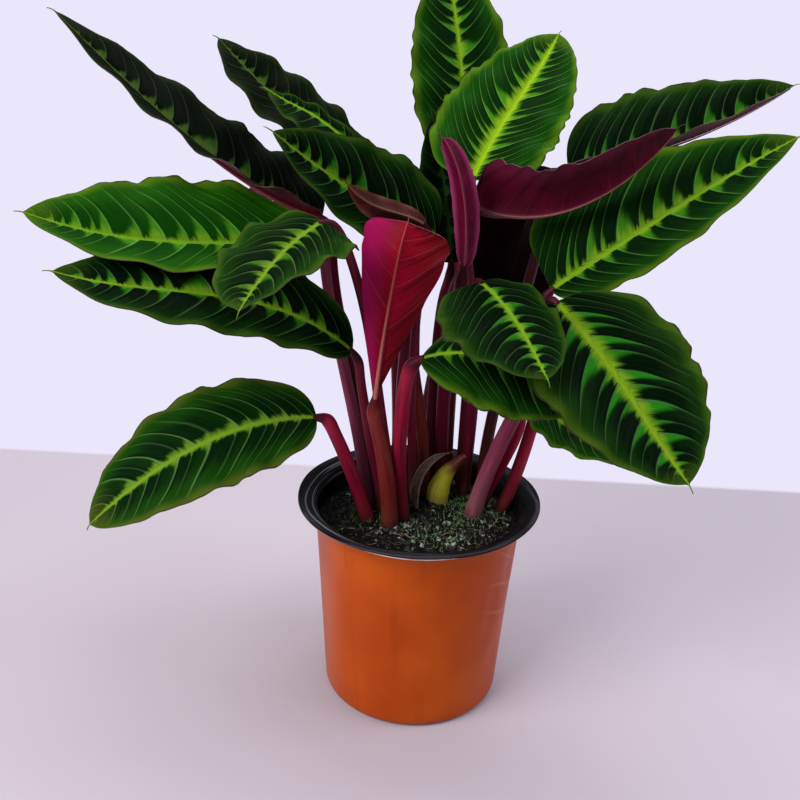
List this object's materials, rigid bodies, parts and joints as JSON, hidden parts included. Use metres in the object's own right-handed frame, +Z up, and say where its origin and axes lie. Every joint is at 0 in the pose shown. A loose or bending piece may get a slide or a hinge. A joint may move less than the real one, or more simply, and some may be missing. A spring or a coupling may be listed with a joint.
{
  "type": "potted foliage plant",
  "caption": "Upright foliage plant with waved, feather-patterned leaves on red stalks, standing in soil in a thin two-tone nursery pot with a flared rim.",
  "frame": {"origin": "centre of the pot's underside, on the surface that it stands on", "axes": "+Z up along the pot's axis, front of the plant towards -Y, +X to the right seen from the front"},
  "size_m": [0.5207, 0.351, 0.5343],
  "materials": {
    "pot_plastic": "thin moulded plastic, terracotta orange outside, black inside and on the rim",
    "peat": "dark moist peat with pale grit and moss",
    "leaf_green": "velvety dark green leaf with a light green feathered midrib, red-purple beneath",
    "stalk_red": "smooth satin burgundy leaf stalk",
    "shoot_green": "satin yellow-green young shoot",
    "sheath_brown": "dry papery brown sheath"
  },
  "bodies": {
    "root": {"pot": "pot_plastic", "soil": "peat", "young_shoot": "shoot_green", "dry_sheath": "sheath_brown", "leaf_01_blade": "leaf_green", "leaf_01_petiole": "stalk_red", "leaf_02_blade": "leaf_green", "leaf_02_petiole": "stalk_red", "leaf_03_blade": "leaf_green", "leaf_03_petiole": "stalk_red", "leaf_04_blade": "leaf_green", "leaf_04_petiole": "stalk_red", "leaf_05_blade": "leaf_green", "leaf_05_petiole": "stalk_red", "leaf_06_blade": "leaf_green", "leaf_06_petiole": "stalk_red", "leaf_07_blade": "leaf_green", "leaf_07_petiole": "stalk_red", "leaf_08_blade": "leaf_green", "leaf_08_petiole": "stalk_red", "leaf_09_blade": "leaf_green", "leaf_09_petiole": "stalk_red", "leaf_10_blade": "leaf_green", "leaf_10_petiole": "stalk_red", "leaf_11_blade": "leaf_green", "leaf_11_petiole": "stalk_red", "leaf_12_blade": "leaf_green", "leaf_12_petiole": "stalk_red", "leaf_13_blade": "leaf_green", "leaf_13_petiole": "stalk_red", "leaf_14_blade": "leaf_green", "leaf_14_petiole": "stalk_red", "leaf_15_blade": "leaf_green", "leaf_15_petiole": "stalk_red", "leaf_16_blade": "leaf_green", "leaf_16_petiole": "stalk_red", "leaf_17_blade": "leaf_green", "leaf_17_petiole": "stalk_red", "leaf_18_blade": "leaf_green", "leaf_18_petiole": "stalk_red", "leaf_19_blade": "leaf_green", "leaf_19_petiole": "stalk_red", "leaf_20_blade": "leaf_green", "leaf_20_petiole": "stalk_red", "leaf_21_blade": "leaf_green", "leaf_21_petiole": "stalk_red", "leaf_22_blade": "leaf_green", "leaf_22_petiole": "stalk_red", "leaf_23_blade": "leaf_green", "leaf_23_petiole": "stalk_red"}
  },
  "joints": []
}
